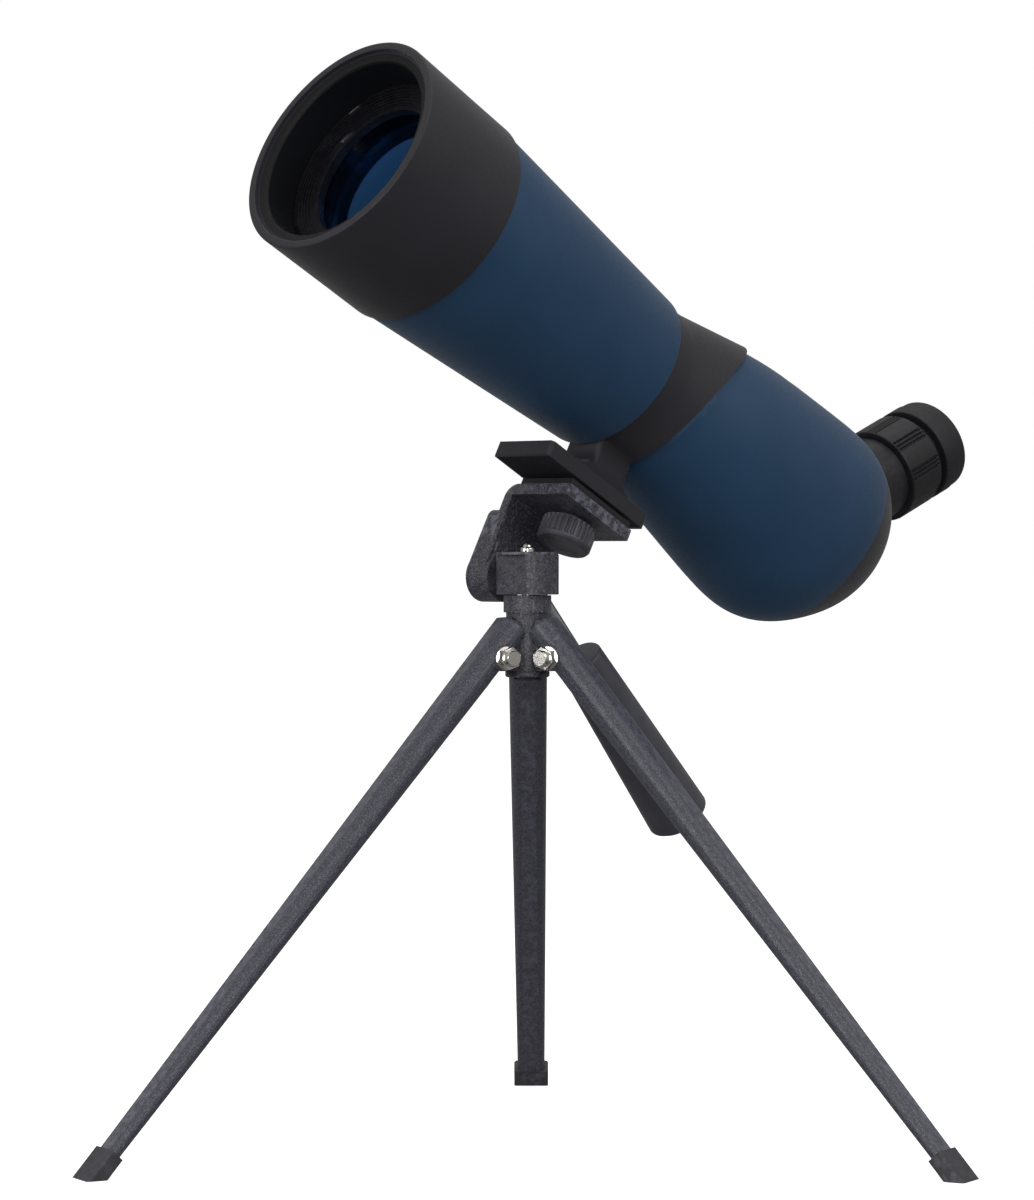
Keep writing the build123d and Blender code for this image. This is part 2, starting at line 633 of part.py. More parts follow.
def build_collar():
    flare_start, flare_end = COLLAR_FLARE
    front = BARREL_END
    outside = turned_y(
        [
            (0, front),
            (COLLAR_R[0], front),
            (COLLAR_R[0], flare_start - 3),
            (COLLAR_R[0] + 0.25, flare_start),
            (collar_outside(flare_end + 10), flare_end + 10),
            (0, flare_end + 10),
        ]
    )
    inside = turned_y(
        [
            (0, front - 5),
            (SPIGOT_R, front - 5),
            (SPIGOT_R, front + SPIGOT_LONG + 0.5),
            (collar_outside(front + SPIGOT_LONG + 0.5) - COLLAR_WALL, front + SPIGOT_LONG + 0.5),
            (collar_outside(flare_end + 20) - COLLAR_WALL, flare_end + 20),
            (0, flare_end + 20),
        ]
    )
    collar = outside - behind_collar(0)
    low = SHOE_TOP - SHOE_T
    shoe = block((-SHOE_HALF, SHOE_HALF), SHOE_STATION, (low, SHOE_TOP))
    shoe = chamfer(shoe.edges().filter_by(Axis.Z), 1.2)
    shoe = fillet(shoe.edges().group_by(Axis.Z)[-1], 0.5)
    sections = []
    for i in range(STEM_STEPS + 1):
        height = i / STEM_STEPS * STEM_FLARE_H
        out = (1 - i / STEM_STEPS) ** 2
        x = STEM_HALF + STEM_FLARE[2] * out
        near = STEM_STATION[0] - STEM_FLARE[0] * out
        far = STEM_STATION[1] + STEM_FLARE[1] * out
        place = Pos(0, (near + far) / 2, SHOE_TOP + height)
        sections.append(place * RectangleRounded(2 * x, far - near, STEM_ROUND))
    stem = loft(sections)
    upper = Pos(0, sum(STEM_STATION) / 2, SHOE_TOP + STEM_FLARE_H)
    neck = RectangleRounded(2 * STEM_HALF, STEM_STATION[1] - STEM_STATION[0], STEM_ROUND)
    stem += extrude(upper * neck, STEM_FLARE_H)
    collar += shoe
    collar += stem - (housing_solid(0) & behind_collar(0))
    collar -= inside
    insert_station = RIM_FORWARD + KNOB_Y
    insert_r = SCREW_R + RUNNING + INSERT_WALL
    low_pad = low + SHOE_PAD_T
    collar -= Pos(0, insert_station, 0) * rod(insert_r, low - 1, SHOE_TOP + 0.6)
    across = (PAD_INSET - SHOE_HALF, SHOE_HALF - PAD_INSET)
    along = (SHOE_STATION[0] + 2 * PAD_INSET, SHOE_STATION[1] - 2 * PAD_INSET)
    recess = block(across, along, (low, low_pad))
    collar -= recess
    pieces["collar"] = scope_frame * collar
    screw_hole = Pos(0, insert_station, 0) * rod(SCREW_HOLE_R, low - 1, low_pad + 1)
    pieces["shoe_pad"] = scope_frame * (recess - screw_hole)
    insert = ring(insert_r, SCREW_R + RUNNING, low_pad, SHOE_TOP + 0.6)
    insert += rod(insert_r, SHOE_TOP - 0.2, SHOE_TOP + 0.6)
    pieces["screw_insert"] = scope_frame * Pos(0, insert_station, 0) * insert


# the housing's section at each station: station, half width, top, bottom
HOUSING_SECTIONS = (
    (165.0, 29.2, 29.2, -29.2),
    (178.0, 31.8, 31.8, -31.8),
    (190.7, 34.3, 34.3, -34.3),
    (205.0, 35.8, 36.6, -37.2),
    (222.0, 36.2, 38.2, -40.8),
    (238.0, 36.2, 39.1, -44.0),
    (252.0, 35.8, 39.8, -45.0),
    (262.0, 34.6, 39.9, -42.6),
    (270.5, 32.3, 39.0, -38.2),
    (278.5, 28.7, 36.6, -32.5),
    (286.0, 24.0, 32.4, -25.8),
    (292.0, 18.4, 26.6, -18.3),
    (296.5, 12.2, 19.4, -10.4),
    (299.2, 5.6, 11.6, -2.8),
)


def housing_solid(wall):
    """The smooth prism housing with no openings, less a wall all round."""
    sections = []
    for station, half, top, bottom in HOUSING_SECTIONS:
        if wall and station > HOUSING_SECTIONS[-1][0] - 2 * wall:
            continue
        middle = (0, station - wall * 0.4, (top + bottom) / 2)
        place = Plane(origin=middle, x_dir=(1, 0, 0), z_dir=(0, 1, 0))
        sections.append(place * Ellipse(half - wall, (top - bottom) / 2 - wall))
    body = loft(sections)
    return body - eye_plane.location * block((-90, 90), (-90, 90), (-FACE_BELOW - wall, 90))


def build_rear():
    outer = housing_solid(0)
    inner = housing_solid(HOUSING_WALL)
    shell = outer - inner
    tail = behind(SEAM_REAR, SEAM_REAR_TILT)
    head = behind_collar(0)

    def inside(station):
        return collar_outside(station) - COLLAR_WALL - 2 * RUNNING

    spigot = turned_y(
        [
            (inside(160) - HOUSING_WALL, 160),
            (inside(160), 160),
            (inside(200), 200),
            (inside(200) - HOUSING_WALL, 200),
        ]
    )
    spigot = (spigot & behind_collar(-SEAM_LAP[0])) - behind_collar(SEAM_LAP[1])
    housing = (shell & head) - tail
    housing += spigot
    lip = inner - housing_solid(HOUSING_WALL + 1.4)
    lip = (lip & behind(SEAM_REAR - 4, SEAM_REAR_TILT)) - behind(SEAM_REAR + 1, SEAM_REAR_TILT)
    cover = shell & tail
    cover += lip
    boss = eye_plane.location * Pos(FOCUS_X, 0, -FACE_BELOW) * rod(FOCUS_BOSS_R, -26, FOCUS_BOSS_H)
    cover += (boss & tail) - inner
    holes = rod(EYE_TUBE_R, -FACE_BELOW - 8, 0)
    holes += Pos(FOCUS_X, 0, -FACE_BELOW) * rod(FOCUS_SHAFT_R + RUNNING, -FOCUS_SHAFT_DEEP, 10)
    holes = eye_plane.location * holes
    pieces["rear_cover"] = scope_frame * (cover - holes)
    pieces["rear_housing"] = scope_frame * (housing - holes)


def lens_disc(radius, low, high, bulge):
    """A lens about Z with a bulge on its upper face."""
    curve = sphere_radius(radius, bulge)
    return rod(radius, low, high) & (Pos(0, 0, high - curve) * Sphere(curve))


def build_eyepiece():
    tube = turned_z(
        [
            (EYE_BORE_R, TUBE_LOW),
            (EYE_TUBE_R, TUBE_LOW),
            (EYE_TUBE_R, -GAP),
            (EYE_CORE_R, -GAP),
            (EYE_CORE_R, ZOOM_LONG + GAP),
            (EYE_BORE_R, ZOOM_LONG + GAP),
        ]
    )
    pieces["eyepiece_tube"] = eye_frame * tube
    head_low = ZOOM_LONG + GAP
    cell_r = EYE_LENS_R + 0.1
    pieces["eyepiece_head"] = eye_frame * turned_z(
        [
            (cell_r, head_low),
            (NECK_EYE_R, head_low),
            (NECK_EYE_R, CUP_START),
            (EYE_CORE_R, CUP_START),
            (EYE_CORE_R, EYE_LENS_TOP + 1.2),
            (cell_r - 0.9, EYE_LENS_TOP + 1.2),
            (cell_r - 0.9, EYE_LENS_TOP - 0.1),
            (cell_r, EYE_LENS_TOP - 1.2),
        ]
    )
    eye_lens = lens_disc(EYE_LENS_R, EYE_LENS_TOP - EYE_LENS_T, EYE_LENS_TOP, EYE_LENS_BULGE)
    pieces["eye_lens"] = eye_frame * eye_lens
    pieces["field_stop"] = eye_frame * ring(EYE_BORE_R, FIELD_R, -FIELD_LENS[0] + 0.5, -FIELD_LENS[0] + 1.5)
    pieces["field_lens"] = eye_frame * Rot(180, 0, 0) * lens_disc(EYE_BORE_R, *FIELD_LENS, ZOOM_LENS_BULGE)
    step = CUP_START + 0.4 * (CUP_END - CUP_START)
    pieces["eyecup"] = eye_frame * turned_z(
        [
            (EYE_CORE_R, CUP_START),
            (CUP_R - 0.5, CUP_START),
            (CUP_R, CUP_START + 0.5),
            (CUP_R, step),
            (CUP_R - 0.35, step + 0.35),
            (CUP_R - 0.35, CUP_END - 1.1),
            (CUP_R - 1.3, CUP_END),
            (CUP_RECESS_R + 0.8, CUP_END),
            (CUP_RECESS_R, CUP_END - 1.0),
            (CUP_RECESS_R, EYE_LENS_TOP + 1.4),
            (EYE_CORE_R, EYE_LENS_TOP + 1.2),
        ]
    )
    zoom = ring(ZOOM_R, EYE_CORE_R + GAP, 0, ZOOM_LONG)
    groove = Pos(ZOOM_R, 0, ZOOM_LONG / 2) * Box(2 * GROOVE_DEEP, GROOVE_WIDE, ZOOM_LONG - 4 * GROOVE_DEEP)
    for i in range(ZOOM_PANELS):
        for k in (-1, 0, 1):
            zoom -= Rot(0, 0, 360 / ZOOM_PANELS * i + ZOOM_GROOVE_PITCH * k) * groove
    pieces["zoom_ring"] = eye_frame * zoom
    cell_out = EYE_BORE_R - GAP
    pieces["zoom_cell"] = eye_frame * ring(cell_out, ZOOM_LENS_R, *ZOOM_CELL)
    zoom_lens = lens_disc(ZOOM_LENS_R, ZOOM_CELL[0] + 1, ZOOM_CELL[1] - 1.5, ZOOM_LENS_BULGE)
    pieces["zoom_lens"] = eye_frame * zoom_lens


def build_focus():
    low = FOCUS_BOSS_H + GAP
    middle = low + FOCUS_KNOB_H / 2
    knob = knurled(FOCUS_KNOB_R, low, low + FOCUS_KNOB_H, FOCUS_KNOB_RIDGES)
    pieces["focus_knob"] = focus_frame * (knob - rod(FOCUS_SHAFT_R, 0, middle))
    pieces["focus_screw"] = focus_frame * rod(FOCUS_SHAFT_R, -FOCUS_SHAFT_DEEP, middle)
    pieces["focus_carriage"] = focus_frame * make_carriage()
    seat = CARRIAGE[0] + SHELF_T
    tip = seat + PRISM_H
    deep = PRISM_HALF_DEEP
    prism = Plane.YZ * outline([(-deep, seat), (deep, seat), (deep, tip - deep), (0, tip)])
    pieces["focus_prism"] = focus_frame * Pos(-FOCUS_X - PRISM_HALF, 0, 0) * extrude(prism, 2 * PRISM_HALF)


def make_carriage():
    """A nut on the focus screw, with an arm to the shelf that carries the moving prism."""
    low, high = CARRIAGE
    deep = (-PRISM_HALF_DEEP, PRISM_HALF_DEEP)
    carriage = rod(NUT_R, low, high)
    carriage += block((0, -FOCUS_X - PRISM_HALF - 1), deep, (low, high))
    carriage -= rod(FOCUS_SHAFT_R + RUNNING, low - 1, high + 1)
    shelf = (-FOCUS_X - PRISM_HALF - 3, -FOCUS_X + PRISM_HALF + 1)
    return carriage + block(shelf, deep, (low, low + SHELF_T))


def build_prism_bracket():
    """The fixed prism hangs between two cheeks of a ring that sits in the tube's lower end."""
    top = TUBE_LOW - 1.5
    bracket = ring(EYE_BORE_R, ROOF_HALF, top, TUBE_LOW + 2)
    for side in (-1, 1):
        cheek = sorted((side * PRISM_HALF, side * (PRISM_HALF + CHEEK_T)))
        bracket += block(cheek, (-ROOF_HALF, ROOF_HALF), (BRACKET_LOW, top))
    pieces["prism_bracket"] = eye_frame * bracket
    half = ROOF_HALF - 0.5
    shoulder = BRACKET_LOW + ROOF_HALF / 2
    roof = Plane.YZ * outline(
        [(-half, top - 1), (half, top - 1), (half, shoulder), (0, BRACKET_LOW), (-half, shoulder)]
    )
    pieces["roof_prism"] = eye_frame * Pos(-PRISM_HALF, 0, 0) * extrude(roof, 2 * PRISM_HALF)


def bounds(shapes):
    boxes = [shape.bounding_box() for shape in shapes]
    low = [min(getattr(b.min, axis) for b in boxes) for axis in "XYZ"]
    high = [max(getattr(b.max, axis) for b in boxes) for axis in "XYZ"]
    return low, high


build_tripod()
build_head()
build_bracket()
build_front()
build_collar()
build_rear()
build_eyepiece()
build_focus()
build_prism_bracket()

low, high = bounds(pieces.values())
row_shift = Pos(-(low[0] + high[0]) / 2, -(low[1] + high[1]) / 2, -low[2])

os.makedirs("parts", exist_ok=True)
for name, shape in pieces.items():
    export_step(row_shift * shape, "parts/" + name + ".step")
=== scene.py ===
import math
import json
import bpy
import bmesh
from mathutils import Matrix, Vector


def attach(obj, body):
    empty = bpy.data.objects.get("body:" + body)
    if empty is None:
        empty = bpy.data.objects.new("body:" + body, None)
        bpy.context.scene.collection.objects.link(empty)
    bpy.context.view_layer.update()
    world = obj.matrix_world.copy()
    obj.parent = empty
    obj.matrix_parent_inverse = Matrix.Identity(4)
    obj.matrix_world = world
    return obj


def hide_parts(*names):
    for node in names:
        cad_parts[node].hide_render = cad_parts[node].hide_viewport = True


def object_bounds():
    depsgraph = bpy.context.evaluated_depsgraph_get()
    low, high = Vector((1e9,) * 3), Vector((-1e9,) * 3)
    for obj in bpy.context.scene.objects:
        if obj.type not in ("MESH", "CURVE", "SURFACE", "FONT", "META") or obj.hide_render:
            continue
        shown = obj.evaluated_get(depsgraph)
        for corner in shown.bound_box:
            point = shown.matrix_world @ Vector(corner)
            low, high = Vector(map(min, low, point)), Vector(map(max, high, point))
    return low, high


# The looks of a spotting telescope on a table tripod. Metres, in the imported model's frame: +Z up, the
# telescope points to -Y and up, +X is its left.
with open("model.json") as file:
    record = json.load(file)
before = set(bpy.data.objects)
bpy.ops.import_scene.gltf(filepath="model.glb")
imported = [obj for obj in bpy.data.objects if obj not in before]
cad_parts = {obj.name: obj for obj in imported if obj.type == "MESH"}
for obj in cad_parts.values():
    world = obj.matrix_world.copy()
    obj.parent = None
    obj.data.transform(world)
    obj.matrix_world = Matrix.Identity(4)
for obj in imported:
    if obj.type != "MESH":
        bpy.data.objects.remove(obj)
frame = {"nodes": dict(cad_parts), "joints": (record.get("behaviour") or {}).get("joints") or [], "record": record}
cad_low, cad_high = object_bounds()

MM = 0.001
joints = {joint["name"]: joint for joint in frame["joints"]}
mounts = {mount["name"]: mount for mount in frame["record"]["mounts"]}
nodes = frame["nodes"]


# ---------------------------------------------------------------- places, all worked out from the frame
def placed(origin, along, side=(1, 0, 0)):
    """A placement whose Z runs along a direction, with X as near as it can be to a side."""
    z = Vector(along).normalized()
    x = (Vector(side) - z * z.dot(Vector(side))).normalized()
    turn = Matrix((x, z.cross(x), z)).transposed().to_4x4()
    return Matrix.Translation(origin) @ turn


def at_joint(name):
    return placed(joints[name]["pos_m"], joints[name]["axis"])


mouth = mounts["objective_cap_seat"]
rim_centre = Vector(mouth["pos_m"]) + Vector(mouth["axis"]) * mouth["dims"]["length_mm"] * MM / 2
optics = placed(rim_centre, -Vector(mouth["axis"]))       # Z is the station behind the front rim
eyepiece = at_joint("zoom_turn")                          # Z = 0 is the zoom ring's lower end
knob_place = at_joint("camera_screw_turn")                # Z = 0 is half way up the knob's ridges
focus_place = at_joint("focus_turn")
pan_axis = Vector(joints["pan"]["pos_m"])


# ---------------------------------------------------------------- materials
class Tree:
    """A material's nodes and links, added one by one."""

    def __init__(self, name):
        self.material = bpy.data.materials.new(name)
        self.material.use_nodes = True
        self.nodes = self.material.node_tree.nodes
        self.links = self.material.node_tree.links
        self.shader = self.nodes["Principled BSDF"]
        self.place = self.nodes.new("ShaderNodeTexCoord").outputs["Object"]

    def set(self, **values):
        """All-over values, straight on the shader's sockets."""
        for socket, value in values.items():
            self.shader.inputs[socket.replace("_", " ")].default_value = value
        return self

    def noise(self, size, detail=3.0, roughness=0.5):
        """Noise whose lumps are about this size in metres."""
        node = self.nodes.new("ShaderNodeTexNoise")
        node.inputs["Scale"].default_value = 1 / size
        node.inputs["Detail"].default_value = detail
        node.inputs["Roughness"].default_value = roughness
        self.links.new(self.place, node.inputs["Vector"])
        return node.outputs["Fac"]

    def cells(self, size):
        node = self.nodes.new("ShaderNodeTexVoronoi")
        node.feature = "SMOOTH_F1"
        node.inputs["Scale"].default_value = 1 / size
        self.links.new(self.place, node.inputs["Vector"])
        return node.outputs["Distance"]

    def between(self, share, low, high, from_low=0.3, from_high=0.7):
        """A number that runs from low to high as share does from one value to another."""
        node = self.nodes.new("ShaderNodeMapRange")
        node.inputs["From Min"].default_value = from_low
        node.inputs["From Max"].default_value = from_high
        node.inputs["To Min"].default_value = low
        node.inputs["To Max"].default_value = high
        self.links.new(share, node.inputs["Value"])
        return node.outputs["Result"]

    def ramp(self, share, stops):
        """A colour ramp, from (position, linear colour) stops."""
        node = self.nodes.new("ShaderNodeValToRGB")
        elements = node.color_ramp.elements
        while len(elements) < len(stops):
            elements.new(0.5)
        for element, (position, colour) in zip(elements, stops):
            element.position = position
            element.color = (*colour, 1)
        self.links.new(share, node.inputs["Fac"])
        return node.outputs["Color"]

    def mix(self, share, first, second, mode="MIX"):
        node = self.nodes.new("ShaderNodeMix")
        node.data_type = "RGBA"
        node.blend_type = mode
        for value, socket in ((share, "Factor_Float"), (first, "A_Color"), (second, "B_Color")):
            target = next(s for s in node.inputs if s.identifier == socket)
            if isinstance(value, bpy.types.NodeSocket):
                self.links.new(value, target)
            else:
                target.default_value = value if isinstance(value, float) else (*value, 1)
        return next(s for s in node.outputs if s.identifier == "Result_Color")

    def add(self, first, second, share):
        """first + share * second."""
        node = self.nodes.new("ShaderNodeMath")
        node.operation = "MULTIPLY_ADD"
        self.links.new(second, node.inputs[0])
        node.inputs[1].default_value = share
        self.links.new(first, node.inputs[2])
        return node.outputs[0]

    def edge_wear(self, amount):
        """How much an edge is rubbed: the mesh's own sharpness, broken up by noise."""
        geometry = self.nodes.new("ShaderNodeNewGeometry")
        sharp = self.between(geometry.outputs["Pointiness"], 0.0, 1.0, 0.52, 0.60)
        broken = self.between(self.noise(2.5 * MM, 4.0), 0.0, amount, 0.42, 0.62)
        node = self.nodes.new("ShaderNodeMath")
        node.operation = "MULTIPLY"
        self.links.new(sharp, node.inputs[0])
        self.links.new(broken, node.inputs[1])
        return node.outputs[0]

    def finish(self, colour, roughness, height=None, depth=0.0):
        self.links.new(colour, self.shader.inputs["Base Color"])
        self.links.new(roughness, self.shader.inputs["Roughness"])
        if height is not None:
            bump = self.nodes.new("ShaderNodeBump")
            bump.inputs["Strength"].default_value = 1.0
            bump.inputs["Distance"].default_value = depth
            self.links.new(height, bump.inputs["Height"])
            self.links.new(bump.outputs["Normal"], self.shader.inputs["Normal"])
        return self.material


def rubber_armour(name, deep, pale, roughness):
    """Soft-touch coating: an even colour with a very fine grain and a pale bloom at glancing angles."""
    t = Tree(name).set(Sheen_Weight=0.12, Sheen_Roughness=0.35, Specular_IOR_Level=0.42)
    cloud = t.noise(28 * MM, 2.0)
    grain = t.noise(0.22 * MM, 4.0, 0.65)
    colour = t.mix(t.between(cloud, 0.0, 1.0), deep, pale)
    colour = t.mix(t.between(grain, 0.0, 0.16), colour, tuple(c * 1.9 + 0.006 for c in pale))
    rough = t.between(t.noise(1.4 * MM, 3.0), roughness - 0.05, roughness + 0.05)
    return t.finish(colour, rough, grain, 0.035 * MM)


def moulded_plastic(name, deep, pale, roughness, grain_size=0.35 * MM, depth=0.03 * MM, wear=0.0):
    t = Tree(name).set(Specular_IOR_Level=0.5)
    grain = t.noise(grain_size, 3.0, 0.6)
    colour = t.mix(t.between(t.noise(6 * MM, 3.0), 0.0, 1.0), deep, pale)
    if wear:
        colour = t.mix(t.edge_wear(wear), colour, tuple(c * 3 + 0.02 for c in pale))
    rough = t.between(t.noise(2.2 * MM, 3.0), roughness - 0.06, roughness + 0.06)
    return t.finish(colour, rough, grain, depth)


def wrinkle_enamel(name, deep, pale, lump, depth, roughness, wear=0.5):
    """Hammered stove enamel: lumps with a soft gloss, and pale flecks on their tops."""
    t = Tree(name).set(Specular_IOR_Level=0.55, Coat_Weight=0.10, Coat_Roughness=0.3)
    lumps = t.cells(lump)
    fine = t.noise(lump * 0.55, 5.0, 0.7)
    height = t.add(fine, lumps, -0.8)
    flecks = t.noise(lump * 0.8, 4.0, 0.62)
    colour = t.ramp(flecks, [(0.38, deep), (0.52, tuple(c * 1.5 for c in deep)), (0.66, pale)])
    colour = t.mix(t.edge_wear(wear), colour, tuple(c * 1.6 + 0.05 for c in pale))
    rough = t.between(t.noise(lump * 1.5, 3.0), roughness - 0.08, roughness + 0.10)
    return t.finish(colour, rough, height, depth)


def bright_metal(name, colour, roughness):
    t = Tree(name).set(Metallic=1.0, Specular_IOR_Level=0.5)
    tarnish = t.between(t.noise(3.0 * MM, 4.0), 0.0, 0.35)
    tint = t.mix(tarnish, colour, tuple(c * 0.72 for c in colour))
    fine = t.noise(0.25 * MM, 4.0, 0.7)
    rough = t.between(t.noise(0.9 * MM, 4.0), roughness * 0.7, roughness * 1.5)
    return t.finish(tint, rough, fine, 0.006 * MM)


def anodised_black(name, deep, roughness):
    """Black anodised metal, a little uneven in tone and gloss."""
    t = Tree(name).set(Metallic=0.35, Specular_IOR_Level=0.5)
    grain = t.noise(0.18 * MM, 3.0, 0.6)
    colour = t.mix(t.between(t.noise(4 * MM, 3.0), 0.0, 1.0), deep, tuple(c * 1.8 for c in deep))
    rough = t.between(t.noise(1.0 * MM, 3.0), roughness - 0.05, roughness + 0.08)
    return t.finish(colour, rough, grain, 0.012 * MM)


def coated_glass(name, reflected, clear, glancing):
    """Lens glass seen by its coating: coloured reflections over clear glass, fuller at a glancing angle."""
    t = Tree(name).set(Metallic=1.0)
    weight = t.nodes.new("ShaderNodeLayerWeight")
    weight.inputs["Blend"].default_value = 0.35
    sides = tuple(c * 0.8 for c in reflected)
    colour = t.ramp(weight.outputs["Facing"], [(0.0, reflected), (0.6, sides), (1.0, glancing)])
    film = t.between(weight.outputs["Facing"], clear, 0.75, 0.1, 0.95)
    t.links.new(film, t.shader.inputs["Alpha"])
    rough = t.between(t.noise(1.6 * MM, 4.0), 0.02, 0.06, 0.5, 0.8)
    return t.finish(colour, rough)


BLUE = rubber_armour("blue_armour", (0.0090, 0.0420, 0.1000), (0.0130, 0.0520, 0.1160), 0.56)
BLACK = rubber_armour("black_armour", (0.0160, 0.0155, 0.0205), (0.0210, 0.0205, 0.0265), 0.54)
SOFT = moulded_plastic(
    "soft_rubber", (0.0075, 0.0070, 0.0095), (0.0110, 0.0105, 0.0140), 0.58, 0.3 * MM, 0.03 * MM
)
RIBBED = moulded_plastic(
    "ribbed_plastic", (0.0042, 0.0040, 0.0060), (0.0070, 0.0068, 0.0100), 0.52, 0.4 * MM, 0.02 * MM, 0.25
)
KNOB = moulded_plastic(
    "knob_plastic", (0.046, 0.046, 0.058), (0.066, 0.066, 0.082), 0.38, 0.4 * MM, 0.03 * MM, 0.5
)
SMOOTH = moulded_plastic(
    "handle_plastic", (0.050, 0.050, 0.064), (0.068, 0.068, 0.084), 0.40, 0.6 * MM, 0.015 * MM, 0.2
)
BOOT = moulded_plastic(
    "boot_rubber", (0.034, 0.034, 0.040), (0.050, 0.050, 0.058), 0.60, 0.5 * MM, 0.05 * MM, 0.4
)
ENAMEL = wrinkle_enamel(
    "wrinkle_enamel", (0.020, 0.020, 0.027), (0.150, 0.150, 0.190), 0.75 * MM, 0.16 * MM, 0.36
)
LEG = wrinkle_enamel("leg_enamel", (0.036, 0.036, 0.048), (0.150, 0.152, 0.200), 0.60 * MM, 0.10 * MM, 0.34)
NICKEL = bright_metal("nickel", (0.78, 0.75, 0.70), 0.16)
STEEL = bright_metal("steel", (0.52, 0.52, 0.54), 0.28)
BRASS = bright_metal("brass_insert", (0.62, 0.45, 0.20), 0.26)
ANODISED = anodised_black("anodised_black", (0.0100, 0.0100, 0.0125), 0.30)
FLOCKED = anodised_black("liner_black", (0.0012, 0.0012, 0.0020), 0.60)
BAFFLE = anodised_black("baffle_black", (0.030, 0.060, 0.120), 0.34)
GLASS = coated_glass("coated_glass", (0.03, 0.16, 0.42), 0.30, (0.25, 0.45, 0.8))
CLEAR = coated_glass("eye_glass", (0.16, 0.10, 0.40), 0.30, (0.5, 0.45, 0.8))

LOOKS = {
    BLUE: ("front_barrel", "rear_housing"),
    BLACK: ("dew_hood", "collar", "rear_cover"),
    SOFT: ("eyecup", "platform_pad", "shoe_pad"),
    RIBBED: ("zoom_ring", "focus_knob", "eyepiece_tube", "eyepiece_head"),
    KNOB: ("mount_knob",),
    SMOOTH: ("handle_grip",),
    BOOT: ("leg_boot_left", "leg_boot_right", "leg_boot_rear"),
    ENAMEL: ("hub", "pan_block", "pan_disc", "tilt_bracket"),
    LEG: ("leg_tube_left", "leg_tube_right", "leg_tube_rear"),
    STEEL: ("tilt_pin", "handle_rod", "mount_screw", "focus_screw"),
    BRASS: ("screw_insert",),
    ANODISED: (
        "hood_liner", "objective_cell", "objective_retainer", "objective_spacer", "zoom_cell",
        "field_stop", "prism_bracket", "focus_carriage",
    ),
    BAFFLE: ("baffle_rings",),
    GLASS: ("objective_front_lens", "objective_rear_lens", "focus_prism", "roof_prism"),
    CLEAR: ("eye_lens", "field_lens", "zoom_lens"),
    NICKEL: ("pan_bolt",) + tuple(
        f"leg_{part}_{leg}" for part in ("bolt", "washers", "nut") for leg in ("left", "right", "rear")
    ),
}
look_of = {node: material for material, names in LOOKS.items() for node in names}
for name, node in nodes.items():
    node.data.materials.clear()
    node.data.materials.append(look_of[name])

body_of_node = {n: body for body, names in frame["record"]["behaviour"]["bodies"].items() for n in names}


# ---------------------------------------------------------------- meshes
SHARP = math.radians(32)
CASTING_EASE = 0.35 * MM
BOOT_EASE = 0.3 * MM


def add_piece(name, mesh, node, material):
    """A new piece that stands for a CAD node, in its place and on its body."""
    mesh.shade_smooth()
    mesh.set_sharp_from_angle(angle=SHARP)
    mesh.materials.clear()
    mesh.materials.append(material)
    piece = bpy.data.objects.new(name, mesh)
    bpy.context.scene.collection.objects.link(piece)
    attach(piece, body_of_node[node])
    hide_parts(node)
    return piece


def cleaned(node, name, bevel=0.0):
    """The CAD node's own shape with its flat faces whole, its round ones smooth and its edges eased."""
    mesh = nodes[node].data.copy()
    work = bmesh.new()
    work.from_mesh(mesh)
    bmesh.ops.remove_doubles(work, verts=work.verts, dist=0.002 * MM)
    bmesh.ops.dissolve_limit(
        work, angle_limit=math.radians(0.2), verts=work.verts, edges=work.edges, use_dissolve_boundaries=False
    )
    work.to_mesh(mesh)
    work.free()
    piece = add_piece(name, mesh, node, look_of[node])
    if bevel:
        ease = piece.modifiers.new("eased_edges", "BEVEL")
        ease.width = bevel
        ease.segments = 2
        ease.limit_method = "ANGLE"
        ease.angle_limit = SHARP
        ease.harden_normals = True
    return piece


def arc_corner(before, corner, after, radius, steps):
    """Points that round a corner of an outline."""
    a = (before - corner).normalized()
    b = (after - corner).normalized()
    half = math.acos(max(-1.0, min(1.0, a.dot(b)))) / 2
    reach = min(radius / math.tan(half), (before - corner).length / 2, (after - corner).length / 2)
    radius = reach * math.tan(half)
    centre = corner + (a + b).normalized() * (radius / math.sin(half))
    start = corner + a * reach - centre
    end = corner + b * reach - centre
    turn = start.angle_signed(end)
    points = []
    for i in range(steps + 1):
        angle = -turn * i / steps
        c, s = math.cos(angle), math.sin(angle)
        points.append(centre + Vector((start.x * c - start.y * s, start.x * s + start.y * c)))
    return points


def soft(corners, steps=4):
    """A closed outline in millimetres from (radius, height) or (radius, height, rounding) corners."""
    flat = [Vector(c[:2]) for c in corners]
    points = []
    for i, corner in enumerate(corners):
        if len(corner) == 3:
            points += arc_corner(flat[i - 1], flat[i], flat[(i + 1) % len(flat)], corner[2], steps)
        else:
            points.append(flat[i])
    return points


